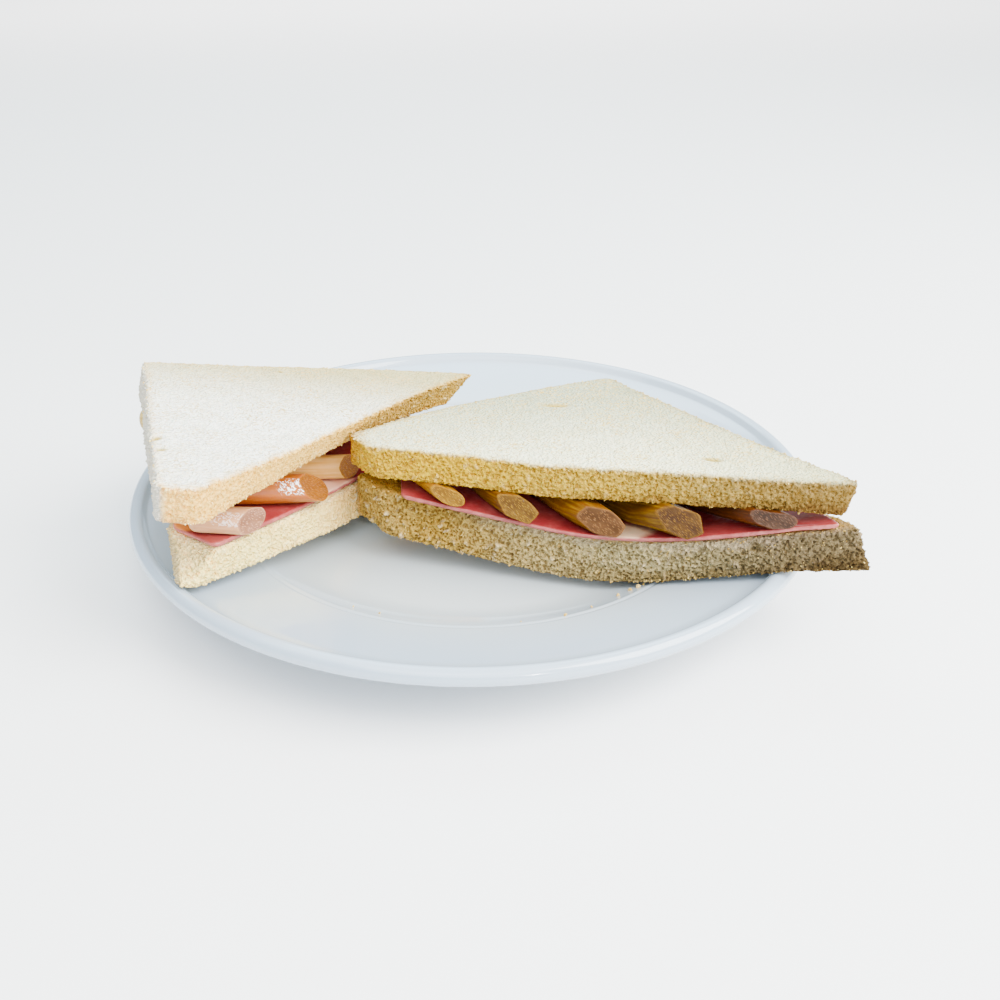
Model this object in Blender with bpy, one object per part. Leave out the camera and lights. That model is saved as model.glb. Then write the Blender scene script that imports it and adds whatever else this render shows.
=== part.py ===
"""A white-bread sandwich of ham and pale asparagus, cut corner to corner, on a round dessert plate.

Origin at the plate's centre where its foot meets the table, +Z up, the camera side is -Y.
Sizes below are in millimetres and become metres when each mesh is made.
"""

import math

import bpy
import numpy as np

# Plate, turned about Z
PLATE_RADIUS = 100.0
PLATE_HEIGHT = 20.0
LIP_RADIUS = 2.33
RING_RADIUS = 70.0
RING_HEIGHT = 11.5
WELL_RADIUS = 57.0
WELL_HEIGHT = 7.0
FOOT_OUTER = 59.5
FOOT_INNER = 55.0
FOOT_HOLLOW = 3.0
PLATE_STEPS = 64

# Free space kept between two pieces that touch
GAP = 0.3
HAM_THICKNESS = 1.5

# Right half: corner points of the square slice, seen from above
RIGHT_TIP = np.array([-43.0, -27.0])
RIGHT_BACK = np.array([42.0, 24.0])
RIGHT_END = np.array([94.0, -63.0])
RIGHT_TOP_HEIGHTS = (42.9, 40.3, 47.2)
RIGHT_TOP_THICKNESS = 9.2
RIGHT_LOW_THICKNESS = 12.0

# Left half: corner points of its top slice, then of its bottom slice
LEFT_BACK = np.array([-96.0, 8.0])
LEFT_POINT = np.array([1.0, 34.5])
LEFT_NEAR = np.array([-68.5, -87.0])
LEFT_TOP_HEIGHTS = (52.6, 37.1, 56.3)
LEFT_TOP_THICKNESS = 9.4
LEFT_LOW_BACK = np.array([-90.8, 29.3])
LEFT_LOW_POINT = np.array([5.0, 46.5])
LEFT_LOW_NEAR = np.array([-72.0, -67.7])
LEFT_LOW_HEIGHTS = (18.9, 7.4, 19.3)
LEFT_LOW_THICKNESS = 10.0

CRUMB = (0.86, 0.78, 0.58)
CRUMB_LOW = (0.78, 0.66, 0.44)
HAM_PINK = (0.80, 0.30, 0.29)
SPEAR_GOLD = (0.70, 0.50, 0.16)
SPEAR_WHITE = (0.78, 0.66, 0.48)
GLAZE = (0.80, 0.83, 0.84)


def unit(vector):
    return vector / np.hypot(*vector)


RIGHT_CUT = unit(RIGHT_END - RIGHT_TIP)
RIGHT_IN = np.array([-RIGHT_CUT[1], RIGHT_CUT[0]])
LEFT_CUT = unit(LEFT_POINT - LEFT_NEAR)
LEFT_LOW_CUT = unit(LEFT_LOW_POINT - LEFT_LOW_NEAR)


def clear_scene():
    for thing in list(bpy.data.objects):
        bpy.data.objects.remove(thing, do_unlink=True)


def material(name, colour, roughness, wet=0.0):
    made = bpy.data.materials.new(name)
    made.use_nodes = True
    shader = made.node_tree.nodes["Principled BSDF"]
    shader.inputs["Base Color"].default_value = (*colour, 1.0)
    shader.inputs["Roughness"].default_value = roughness
    shader.inputs["Coat Weight"].default_value = wet
    return made


def add_mesh(name, points, faces, colour, roughness, wet=0.0):
    mesh = bpy.data.meshes.new(name)
    mesh.from_pydata([tuple(p * 0.001) for p in points], [], faces)
    mesh.update()
    made = bpy.data.objects.new(name, mesh)
    bpy.context.scene.collection.objects.link(made)
    mesh.materials.append(material(name, colour, roughness, wet))
    for face in mesh.polygons:
        face.use_smooth = True
    return made


def close_rings(rings, first, last):
    """Faces of a skin of equal rings that ends in a point at both ends."""
    count = len(rings[0])
    points = [first] + [p for ring in rings for p in ring] + [last]
    end = len(points) - 1
    faces = []
    for j in range(count):
        k = (j + 1) % count
        faces.append((0, 1 + j, 1 + k))
        for i in range(len(rings) - 1):
            a = 1 + i * count
            b = a + count
            faces.append((a + j, b + j, b + k))
            faces.append((a + j, b + k, a + k))
        base = 1 + (len(rings) - 1) * count
        faces.append((base + j, end, base + k))
    return [np.array(p, float) for p in points], faces


def plate_profile():
    """Radius and height of the section: the upper face from its middle, the lip, then the underside."""
    upper = [(30.0, WELL_HEIGHT), (WELL_RADIUS - 3, WELL_HEIGHT + 0.1)]
    for share in (0.25, 0.5, 0.75):
        radius = WELL_RADIUS - 3 + share * (RING_RADIUS - 1.8 - WELL_RADIUS + 3)
        upper.append((radius, WELL_HEIGHT + 0.1 + (RING_HEIGHT - 0.5 - WELL_HEIGHT) * share ** 1.7))
    upper.append((RING_RADIUS - 1.8, RING_HEIGHT - 0.35))
    upper.append((RING_RADIUS - 1.3, RING_HEIGHT - 0.05))
    upper.append((RING_RADIUS, RING_HEIGHT + 0.05))
    upper.append((RING_RADIUS + 0.6, RING_HEIGHT + 0.3))
    middle = PLATE_RADIUS - LIP_RADIUS
    height = PLATE_HEIGHT - LIP_RADIUS
    for share in (0.5,):
        radius = RING_RADIUS + share * (middle - 3.0 - RING_RADIUS)
        upper.append((radius, RING_HEIGHT + 0.3 + (height - RING_HEIGHT - 0.6) * share))
    upper.append((middle - 3.2, height - 0.1))
    lip = []
    for degrees in (145, 110, 75, 40, 5, -30, -70):
        turn = math.radians(degrees)
        lip.append((middle + LIP_RADIUS * math.cos(turn), height + LIP_RADIUS * math.sin(turn)))
    under = [(95.0, 14.4), (84.0, 11.4), (73.0, 8.0), (66.0, 4.6), (FOOT_OUTER + 1.4, 2.6)]
    under += [(FOOT_OUTER, 0.5), (FOOT_OUTER - 0.7, 0.0), (FOOT_INNER + 0.9, 0.0), (FOOT_INNER, 0.6)]
    under += [(FOOT_INNER - 1.6, FOOT_HOLLOW), (30.0, FOOT_HOLLOW)]
    return upper + lip + under


def plate_top(radius):
    """Height of the plate's upper face, which stays at the crest's height outside it."""
    profile = plate_profile()
    crest = max(range(len(profile)), key=lambda i: profile[i][1])
    upper = profile[:crest + 1] + [(PLATE_RADIUS - LIP_RADIUS, PLATE_HEIGHT)]
    return np.interp(radius, [p[0] for p in upper], [p[1] for p in upper])


def build_plate():
    rings = []
    for radius, height in plate_profile():
        turns = [2 * math.pi * i / PLATE_STEPS for i in range(PLATE_STEPS)]
        rings.append([(radius * math.cos(t), radius * math.sin(t), height) for t in turns])
    points, faces = close_rings(rings, (0, 0, WELL_HEIGHT), (0, 0, FOOT_HOLLOW))
    add_mesh("plate", points, faces, GLAZE, 0.12, 0.6)


# Heights of the bread and ham, as functions of the place seen from above

def plane(corners, heights):
    """A flat field through three corner points."""
    grid = np.array([[c[0], c[1], 1.0] for c in corners])
    a, b, c = np.linalg.solve(grid, np.array(heights))
    return lambda x, y: a * x + b * y + c


def right_place(x, y):
    """Distance along the right half's cut from its tip, and distance inside the cut."""
    away = (x - RIGHT_TIP[0], y - RIGHT_TIP[1])
    return (away[0] * RIGHT_CUT[0] + away[1] * RIGHT_CUT[1], away[0] * RIGHT_IN[0] + away[1] * RIGHT_IN[1])


def left_place(x, y):
    away = (x - LEFT_NEAR[0], y - LEFT_NEAR[1])
    return (away[0] * LEFT_CUT[0] + away[1] * LEFT_CUT[1], away[1] * LEFT_CUT[0] - away[0] * LEFT_CUT[1])


def soft_max(a, b, reach):
    return 0.5 * (a + b + np.sqrt((a - b) ** 2 + reach ** 2))


def right_low_under(x, y):
    radius = np.hypot(x, y)
    crest = PLATE_RADIUS - LIP_RADIUS
    slope = (PLATE_HEIGHT - WELL_HEIGHT + 0.1) / (crest - WELL_RADIUS + 3.5)
    bowl = WELL_HEIGHT + GAP + soft_max(0 * radius, slope * (radius - WELL_RADIUS + 3.5), 1.6)
    bowl = bowl - 0.11 * np.maximum(radius - crest - 1.5, 0)
    along, inside = right_place(x, y)
    return bowl + 0.122 * soft_max(0 * along, 87 - along - 0.4 * inside, 8.0)


def right_low_top(x, y):
    along, _ = right_place(x, y)
    thicker = 1.8 * np.clip((105 - along) / 30, 0, 1) - 0.8 + 0.9 * np.clip((along - 118) / 22, 0, 1)
    return right_low_under(x, y) + RIGHT_LOW_THICKNESS + thicker


def right_ham_top(x, y):
    return right_low_top(x, y) + GAP + HAM_THICKNESS


right_top_plane = plane((RIGHT_TIP, RIGHT_BACK, RIGHT_END), RIGHT_TOP_HEIGHTS)
left_top_plane = plane((LEFT_BACK, LEFT_POINT, LEFT_NEAR), LEFT_TOP_HEIGHTS)
left_low_plane = plane((LEFT_LOW_BACK, LEFT_LOW_POINT, LEFT_LOW_NEAR), LEFT_LOW_HEIGHTS)


def right_sag(x, y):
    along, inside = right_place(x, y)
    droop = 1.2 * np.clip((146 - along) / 25, 0, 1) + 1.1 * np.exp(-((along - 64) / 24) ** 2)
    return droop * np.exp(-(inside / 24) ** 2)


def right_top_face(x, y):
    return right_top_plane(x, y) - right_sag(x, y)


def right_top_under(x, y):
    along, _ = right_place(x, y)
    pressed = 0.7 * np.exp(-((along - 120) / 12) ** 2)
    return right_top_face(x, y) - RIGHT_TOP_THICKNESS + pressed


def left_top_face(x, y):
    along, inside = left_place(x, y)
    bend = 0.9 * np.exp(-((along - 108) / 25) ** 2) - 0.6 * np.exp(-((along - 40) / 22) ** 2)
    return left_top_plane(x, y) + bend * np.exp(-(inside / 30) ** 2)


def left_top_under(x, y):
    near = np.hypot(x - LEFT_NEAR[0], y - LEFT_NEAR[1])
    along, _ = left_place(x, y)
    thicker = 2.1 * np.exp(-near / 20) + 1.8 * np.clip((along - 85) / 45, 0, 1)
    return left_top_face(x, y) - LEFT_TOP_THICKNESS - thicker


def left_low_under(x, y):
    dip = 0.9 * np.exp(-(((x + 42) / 30) ** 2 + ((y + 18) / 30) ** 2))
    lift = 1.3 * np.exp(-(np.hypot(x + 73, y + 66) / 11))
    return soft_max(left_low_plane(x, y) - dip + lift, plate_top(np.hypot(x, y)) + 2 * GAP, 0.6)


def left_low_top(x, y):
    near = np.hypot(x - LEFT_LOW_NEAR[0], y - LEFT_LOW_NEAR[1])
    return left_low_under(x, y) + LEFT_LOW_THICKNESS + 0.8 * np.exp(-near / 18)


def left_ham_top(x, y):
    return left_low_top(x, y) + GAP + HAM_THICKNESS


def outline(corners, steps, bows=None, arc=4):
    """Closed line through rounded corners (x, y, radius), turning left.

    Steps are the points on each side, and bows how far the middle of each side swells outwards.
    """
    points = []
    count = len(corners)
    for i in range(count):
        here = np.array(corners[i][:2])
        back = unit(np.array(corners[i - 1][:2]) - here)
        ahead = unit(np.array(corners[(i + 1) % count][:2]) - here)
        reach = corners[i][2]
        first = here + back * reach
        last = here + ahead * reach
        for j in range(arc + 1):
            s = j / arc
            points.append((1 - s) ** 2 * first + 2 * s * (1 - s) * here + s * s * last)
        following = corners[(i + 1) % count]
        goal = np.array(following[:2]) - ahead * following[2]
        outward = np.array([ahead[1], -ahead[0]])
        bow = bows[i] if bows else 0.0
        for j in range(1, steps[i]):
            s = j / steps[i]
            points.append(last + (goal - last) * s + outward * bow * math.sin(math.pi * s))
    return np.array(points)


def uneven(points, size, phase):
    """Moves an outline in and out a little, so that a torn or soft side isn't straight."""
    middle = points.mean(axis=0)
    away = points - middle
    reach = np.hypot(away[:, 0], away[:, 1])[:, None]
    turn = np.cumsum(np.r_[0, np.hypot(*np.diff(points, axis=0).T)])
    shift = size * (np.sin(turn / 7.3 + phase) + 0.7 * np.sin(turn / 3.9 + 2 * phase))
    return points + away / reach * shift[:, None]


def slab(name, upper, lower, face, under, colour, edge, levels, shares, roughness=0.9, wet=0.0):
    """One slice: upper and lower are matching outlines, face and under give the heights of its two faces."""
    middle = (upper.mean(axis=0) + lower.mean(axis=0)) / 2

    def at(line, height):
        return np.column_stack([line, height])

    def inset(line):
        away = line - middle
        return line - away / np.hypot(away[:, 0], away[:, 1])[:, None] * edge

    rings = []
    for share in shares:
        line = middle + (inset(upper) - middle) * share
        rings.append(at(line, face(line[:, 0], line[:, 1])))
    for level in levels:
        line = upper + (lower - upper) * level
        high = face(line[:, 0], line[:, 1])
        low = under(line[:, 0], line[:, 1])
        rings.append(at(line, high + (low - high) * level))
    for share in reversed(shares):
        line = middle + (inset(lower) - middle) * share
        rings.append(at(line, under(line[:, 0], line[:, 1])))
    first = (*middle, float(face(middle[0], middle[1])))
    last = (*middle, float(under(middle[0], middle[1])))
    points, faces = close_rings(rings, first, last)
    return add_mesh(name, points, faces, colour, roughness, wet)


BREAD_SHARES = (0.2, 0.41, 0.62, 0.83, 1.0)
BREAD_LEVELS = (0.045, 0.5, 0.955)
BREAD_EDGE = 0.45
HAM_SHARES = (0.25, 0.52, 0.78, 1.0)


def along_right(distance, inside=0.0):
    return tuple(RIGHT_TIP + RIGHT_CUT * distance + RIGHT_IN * inside)


def build_right_bread():
    steps = (15, 2, 10, 10, 3)
    bows = (0.0, 0.0, -1.6, 2.6, 0.0)
    upper = [(-28.2, -28.5, 1.3), (93.4, -62.6, 2), (92.0, -57.0, 2.5), (42.4, 23.4, 3), (-34.2, -18.7, 1.8)]
    lower = [(-25.6, -30.4, 1.2), (91.6, -61.8, 2), (90.4, -57.6, 2.5), (42.0, 24.0, 3), (-34.6, -19.4, 1.8)]
    slab(
        "right_bread_top", uneven(outline(upper, steps, bows), 0.16, 0.4),
        uneven(outline(lower, steps, bows), 0.2, 1.3),
        right_top_face, right_top_under, CRUMB, BREAD_EDGE, BREAD_LEVELS, BREAD_SHARES,
    )
    upper = [(-25.5, -28.3, 1.0), (94.4, -64.2, 2.5), (92.6, -57.4, 3), (43.0, 25.0, 3), (-32.8, -20.0, 2.0)]
    lower = [(-23.6, -31.4, 1.0), (98.6, -66.4, 2), (95.8, -58.0, 2.5), (43.0, 25.0, 3), (-32.9, -18.6, 2.0)]
    slab(
        "right_bread_bottom", uneven(outline(upper, steps), 0.16, 2.1),
        uneven(outline(lower, steps), 0.2, 3.0),
        right_low_top, right_low_under, CRUMB_LOW, BREAD_EDGE, BREAD_LEVELS, BREAD_SHARES,
    )


def build_left_bread():
    upper = [(-70.6, -77.4, 2.0), (-62.0, -76.4, 2.0), (1.0, 34.5, 1.5), (-95.8, 8.2, 2.5)]
    lower = [(-72.6, -75.9, 2.0), (-62.6, -74.6, 2.0), (-7.6, 32.6, 1.5), (-98.4, 7.8, 2.5)]
    steps = (3, 17, 12, 11)
    slab(
        "left_bread_top", uneven(outline(upper, steps), 0.16, 0.9),
        uneven(outline(lower, steps, (0.0, -2.6, 0.0, 0.0)), 0.2, 2.2),
        left_top_face, left_top_under, CRUMB, BREAD_EDGE, BREAD_LEVELS, BREAD_SHARES,
    )
    upper = [(-77.2, -53.5, 0.8), (-73.4, -55.1, 0.8), (-63.4, -60.0, 1.2), (4.0, 43.0, 2.0), (-91.2, 28.3, 2.5)]
    lower = [(-74.4, -63.2, 0.6), (-72.8, -65.6, 0.6), (-69.4, -64.2, 1.0), (3.4, 42.0, 2.0), (-90.4, 28.3, 2.5)]
    steps = (2, 2, 16, 11, 10)
    slab(
        "left_bread_bottom", uneven(outline(upper, steps, (0, 0, 0.8, 0, 0), 3), 0.12, 1.7),
        uneven(outline(lower, steps, (0, 0, 2.6, 0, 0), 3), 0.15, 0.2),
        left_low_top, left_low_under, CRUMB, BREAD_EDGE, BREAD_LEVELS, BREAD_SHARES,
    )


def build_ham():
    right = [along_right(25.0, -0.4), along_right(138.0, -1.6), (88.0, -56.0), (40.6, 21.0), (-20.5, -14.8)]
    line = uneven(outline([(*p, 2.0) for p in right], (14, 2, 10, 9, 3)), 0.2, 0.7)
    slab(
        "right_ham", line, line, right_ham_top, lambda x, y: right_low_top(x, y) + 1.6 * GAP, HAM_PINK,
        0.5, (0.5,), HAM_SHARES, 0.35, 0.4,
    )
    left = [(-75.8, -53.6), (-63.8, -61.0), (-1.0, 37.0), (-89.2, 25.0)]
    line = uneven(outline([(*p, 2.0) for p in left], (3, 15, 11, 9)), 0.2, 1.9)
    slab(
        "left_ham", line, line, left_ham_top, lambda x, y: left_low_top(x, y) + 1.3 * GAP, HAM_PINK,
        0.5, (0.5,), HAM_SHARES, 0.35, 0.4,
    )


SPEAR_SIDES = 14


def spear(name, start, heading, length, width, height, floor, roof, normal, colour, taper=0.0):
    """A limp spear that lies on the ham: its near end is flush with the knife cut, its far end is rounded."""
    start = np.array(start)
    side = np.array([-heading[1], heading[0]])
    turns = [2 * math.pi * i / SPEAR_SIDES for i in range(SPEAR_SIDES)]
    steps = max(6, round(length / 8))
    travel = [length * i / steps for i in range(steps)] + [length - 1.4, length - 0.3]
    scale = [1.0 - taper * t / length for t in travel]
    scale[-2:] = [0.84 * scale[-2], 0.5 * scale[-1]]
    across = np.linspace(-1, 1, 9)
    middles = []
    for t, size in zip(travel, scale):
        spots = start + heading * t + side * (across * width / 2 * size)[:, None]
        rest = floor(spots[:, 0], spots[:, 1]) + GAP + height / 2 * size * np.sqrt(1 - across ** 2 * 0.99)
        middles.append(float(rest.max()))
    middles = np.array(middles)
    limit = middles[-3]
    middles[-2:] = np.maximum(middles[-2:], limit)
    rings = []
    for i, (t, size) in enumerate(zip(travel, scale)):
        centre = start + heading * t
        ring = []
        for turn in turns:
            # The cut plane crosses the spear at an angle, which fades out along the first part of it
            offset = side * (width / 2 * size * math.cos(turn))
            shear = -offset.dot(normal) / heading.dot(normal) * max(0.0, 1 - t / (0.6 * width + 8.0))
            place = centre + offset + heading * shear
            z = middles[i] + height / 2 * size * math.sin(turn)
            z = max(z, float(floor(place[0], place[1])) + GAP)
            z = min(z, float(roof(place[0], place[1])) - GAP)
            ring.append((place[0], place[1], z))
        rings.append(ring)
    first = np.mean(rings[0], axis=0)
    last = np.mean(rings[-1], axis=0) + np.array([*(heading * 0.25), 0])
    points, faces = close_rings(rings, first, last)
    faces = [face[::-1] for face in faces]
    add_mesh(name, points, faces, colour, 0.3, 0.6)


def direction(degrees):
    turn = math.radians(degrees)
    return np.array([math.cos(turn), math.sin(turn)])


# Distance along the cut and inside it, width, height, heading, length and colour of each right-hand spear
RIGHT_SPEARS = (
    (37.9, -0.8, 7.0, 6.6, 121.5, 22.0, SPEAR_GOLD),
    (56.6, -0.9, 7.6, 8.2, 120.5, 36.0, SPEAR_GOLD),
    (78.6, -0.6, 9.4, 9.0, 122.0, 50.0, SPEAR_WHITE),
    (98.4, -1.0, 9.0, 9.2, 121.0, 64.0, SPEAR_GOLD),
    (121.3, -1.4, 8.6, 7.2, 119.5, 80.0, SPEAR_WHITE),
)
# The same for the left-hand ones, with the place of the near end seen from above in place of the distances
LEFT_SPEARS = (
    (-57.2, -51.6, 7.8, 6.8, 195.5, 15.0, SPEAR_WHITE),
    (-43.9, -31.0, 8.6, 7.8, 196.0, 32.0, SPEAR_GOLD),
    (-34.7, -13.2, 7.2, 6.8, 195.0, 43.0, SPEAR_WHITE),
    (-21.1, 23.3, 8.0, 7.6, 195.3, 80.0, SPEAR_GOLD),
)


def build_spears():
    for i, (along, inside, width, height, heading, length, colour) in enumerate(RIGHT_SPEARS):
        start = RIGHT_TIP + RIGHT_CUT * along + RIGHT_IN * inside
        spear(
            f"right_spear_{i + 1}", start, direction(heading), length, width, height,
            right_ham_top, right_top_under, RIGHT_IN, colour,
        )
    inward = np.array([-LEFT_LOW_CUT[1], LEFT_LOW_CUT[0]])
    for i, (x, y, width, height, heading, length, colour) in enumerate(LEFT_SPEARS):
        spear(
            f"left_spear_{i + 1}", (x, y), direction(heading), length, width, height,
            left_ham_top, left_top_under, inward, colour,
        )


clear_scene()
build_plate()
build_right_bread()
build_left_bread()
build_ham()
build_spears()
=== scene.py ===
# %% [markdown]
# # A ham and asparagus sandwich on its plate
#
# White toast bread without its crust is filled with a slice of cooked ham and a row of pale asparagus, cut
# from corner to corner, and laid as two leaning halves on a round dessert plate. The solids of the part are
# loaded first. They are true in size and place but plain, so each one is dressed here: the bread gets its
# open crumb, the ham its moist skin, the spears their fibres and the plate its glaze.

# %% Load the solids
import math

import bmesh
import bpy
import numpy as np
from mathutils import Matrix, Vector
from mathutils.bvhtree import BVHTree


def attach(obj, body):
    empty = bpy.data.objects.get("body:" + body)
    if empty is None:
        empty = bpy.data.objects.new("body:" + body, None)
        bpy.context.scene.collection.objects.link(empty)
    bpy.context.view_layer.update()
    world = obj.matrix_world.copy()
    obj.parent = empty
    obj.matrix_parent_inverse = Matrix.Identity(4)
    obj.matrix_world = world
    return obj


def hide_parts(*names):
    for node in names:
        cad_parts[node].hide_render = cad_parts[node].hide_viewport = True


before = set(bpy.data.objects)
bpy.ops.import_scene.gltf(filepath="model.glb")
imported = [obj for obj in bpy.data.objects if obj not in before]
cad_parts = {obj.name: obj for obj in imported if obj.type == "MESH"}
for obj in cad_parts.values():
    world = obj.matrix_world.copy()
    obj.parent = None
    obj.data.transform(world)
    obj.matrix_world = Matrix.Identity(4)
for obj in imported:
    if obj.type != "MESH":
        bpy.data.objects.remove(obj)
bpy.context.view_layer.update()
MM = 0.001
print("solids:", ", ".join(sorted(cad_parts)))

# %% [markdown]
# ## Camera, table and light
#
# The photograph looks down on the plate from about 30 degrees. The camera was worked out from the plate's
# rim and ring, and it is set as a matrix because the picture leans by half a degree. The table is a plain
# pale sheet that reaches far behind the plate. The main lamp stands high on the right, so the left half's
# cut face is bright and the right half's stays in a soft shade. A wide lamp above, a cool one behind and a
# weak one in front fill the rest, and a very small lamp low in front makes the glints on the wet spears.
# The last one lights the far floor.

# %% Camera
def aim_camera(place, target, roll):
    ahead = (Vector(target) - Vector(place)).normalized()
    right = ahead.cross(Vector((0, 0, 1))).normalized()
    up = right.cross(ahead)
    side = right * math.cos(roll) + up * math.sin(roll)
    top = up * math.cos(roll) - right * math.sin(roll)
    turned = Matrix((side, top, -ahead)).transposed().to_4x4()
    return Matrix.Translation(place) @ turned


camera = bpy.data.objects.new("camera", bpy.data.cameras.new("camera"))
bpy.context.scene.collection.objects.link(camera)
camera.data.sensor_width = 36
camera.data.lens = 39.6
camera.data.shift_x = 0.02762
camera.data.shift_y = 0.02792
camera.data.clip_start = 0.01
camera.matrix_world = aim_camera((0, -0.29487, 0.16947), (0, 0, 0), -0.0083)
bpy.context.scene.camera = camera
print("camera", [round(v, 3) for v in camera.matrix_world.translation])

# %% [markdown]
# ## Helpers
#
# Every finish and every Geometry Nodes tree below is written as code, because a tree that is drawn by hand
# can't be read, compared or repeated. A few short functions keep that code close to arithmetic: one adds a
# node and wires it, and the others stand for the node settings that come back most often.

# %% Small helpers for node trees
def wire(tree, kind, inputs=None, **settings):
    """Adds a node. A value that is another node's socket is linked, and any other value is set."""
    made = tree.nodes.new(kind)
    for key, value in settings.items():
        setattr(made, key, value)
    for key, value in (inputs or {}).items():
        if isinstance(value, bpy.types.NodeSocket):
            tree.links.new(value, made.inputs[key])
        else:
            made.inputs[key].default_value = value
    return made


def calc(tree, operation, a, b=0.0, c=0.0):
    return wire(tree, "ShaderNodeMath", {0: a, 1: b, 2: c}, operation=operation).outputs[0]


def ease(tree, value, low, high, start=0.0, end=1.0):
    """Smooth step of a value from low to high."""
    given = {"Value": value, "From Min": low, "From Max": high, "To Min": start, "To Max": end}
    return wire(tree, "ShaderNodeMapRange", given, interpolation_type="SMOOTHSTEP").outputs[0]


def opaque(colour):
    """Gives a colour of three numbers its alpha, and leaves a socket as it is."""
    return (*colour, 1) if isinstance(colour, tuple) and len(colour) == 3 else colour


def blend(tree, share, first, second, mode="MIX"):
    given = {0: share, 6: opaque(first), 7: opaque(second)}
    return wire(tree, "ShaderNodeMix", given, data_type="RGBA", blend_type=mode).outputs[2]


def tinted(tree, colour, tint):
    return blend(tree, 1.0, colour, tint, "MULTIPLY")


def times(tree, *values):
    """The product of two or more values."""
    product = values[0]
    for value in values[1:]:
        product = calc(tree, "MULTIPLY", product, value)
    return product


# %% Helpers for places and noise
def split(tree, place):
    return wire(tree, "ShaderNodeSeparateXYZ", {0: place}).outputs


def vector_math(tree, operation, first, second=(0, 0, 0), third=(0, 0, 0), scale=1.0):
    given = {0: first, 1: second, 2: third, 3: scale}
    return wire(tree, "ShaderNodeVectorMath", given, operation=operation).outputs[0]


def noise_at(tree, place, scale, detail=2.0, distortion=0.0):
    given = {"Vector": place, "Scale": scale, "Detail": detail, "Distortion": distortion}
    return wire(tree, "ShaderNodeTexNoise", given).outputs[0]


def sway(tree, value, amount):
    """Centres a noise value on nought and gives it its reach."""
    return times(tree, calc(tree, "SUBTRACT", value, 0.5), amount)


# %% Helpers for materials
def object_place(tree):
    return wire(tree, "ShaderNodeTexCoord").outputs["Object"]


def stored(tree, label, output="Fac"):
    """What the mesh keeps at its points under this name."""
    return wire(tree, "ShaderNodeAttribute", attribute_name=label).outputs[output]


def relief(tree, height, strength, distance, *sockets):
    """Bump from a height, wired to the shader's normals."""
    given = {"Strength": strength, "Distance": distance, "Height": height}
    bump = wire(tree, "ShaderNodeBump", given).outputs[0]
    for socket in sockets:
        tree.links.new(bump, socket)


def soft(weight, radius, scale):
    """Settings for a little scattering below the surface."""
    return {"Subsurface Weight": weight, "Subsurface Radius": radius, "Subsurface Scale": scale}


def shade(name, inputs):
    """A new material with its shader's own sockets set. Returns the material, its tree and the shader."""
    made = bpy.data.materials.new(name)
    made.use_nodes = True
    tree = made.node_tree
    shader = tree.nodes["Principled BSDF"]
    for key, value in inputs.items():
        shader.inputs[key].default_value = value
    return made, tree, shader


# %% Table and lamps
def link(name, data):
    made = bpy.data.objects.new(name, data)
    bpy.context.scene.collection.objects.link(made)
    return made


def lamp(name, place, target, size, power, colour):
    data = bpy.data.lights.new(name, "AREA")
    data.shape = "RECTANGLE"
    data.size, data.size_y = size
    data.energy = power
    data.color = colour
    made = link(name, data)
    made.matrix_world = aim_camera(place, target, 0.0)


work = bmesh.new()
bmesh.ops.create_grid(work, x_segments=2, y_segments=2, size=4.0)
table_mesh = bpy.data.meshes.new("table")
work.to_mesh(table_mesh)
work.free()
table = link("table", table_mesh)
table.data.materials.append(shade("table white", {"Base Color": (0.86, 0.86, 0.86, 1), "Roughness": 0.6})[0])

lamp("key from the right", (0.68, -0.27, 0.68), (0, 0, 0.02), (0.8, 0.8), 50.0, (1.0, 1.0, 0.97))
lamp("ceiling", (-0.15, -0.15, 1.2), (0, 0, 0.02), (1.3, 1.3), 21.0, (0.98, 1.0, 0.99))
lamp("sky from the back", (0.0, 0.75, 0.95), (0, 0, 0.02), (1.4, 0.5), 15.0, (0.62, 0.88, 1.0))
lamp("front fill", (-0.1, -0.8, 0.8), (0, 0, 0.02), (0.9, 0.9), 13.0, (0.95, 0.98, 1.0))
lamp("wet glint", (0.257, -0.818, 0.354), (-0.045, -0.035, 0.03), (0.05, 0.05), 3.0, (1.0, 1.0, 1.0))
lamp("far floor", (0.0, 1.7, 1.5), (0, 3.2, 0), (2.6, 0.8), 170.0, (1.0, 1.0, 1.0))
sky = bpy.data.worlds.new("studio")
bpy.context.scene.world = sky
sky.use_nodes = True
sky.node_tree.nodes["Background"].inputs["Color"].default_value = (0.90, 0.97, 1.0, 1)
sky.node_tree.nodes["Background"].inputs["Strength"].default_value = 1.05

# %% [markdown]
# ## Plate
#
# A porcelain plate is turned, so one section line gives all of it. The section could be spun with a Screw
# modifier. Here a Geometry Nodes tree wraps a flat grid round the axis, one side of the grid along the
# section and the other along the turn, because the count of steps and the section then stay open to change.
# The section follows the solid's: a flat well, a sloping flange, a raised ring between them, a round lip
# and a hollow foot.

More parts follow.
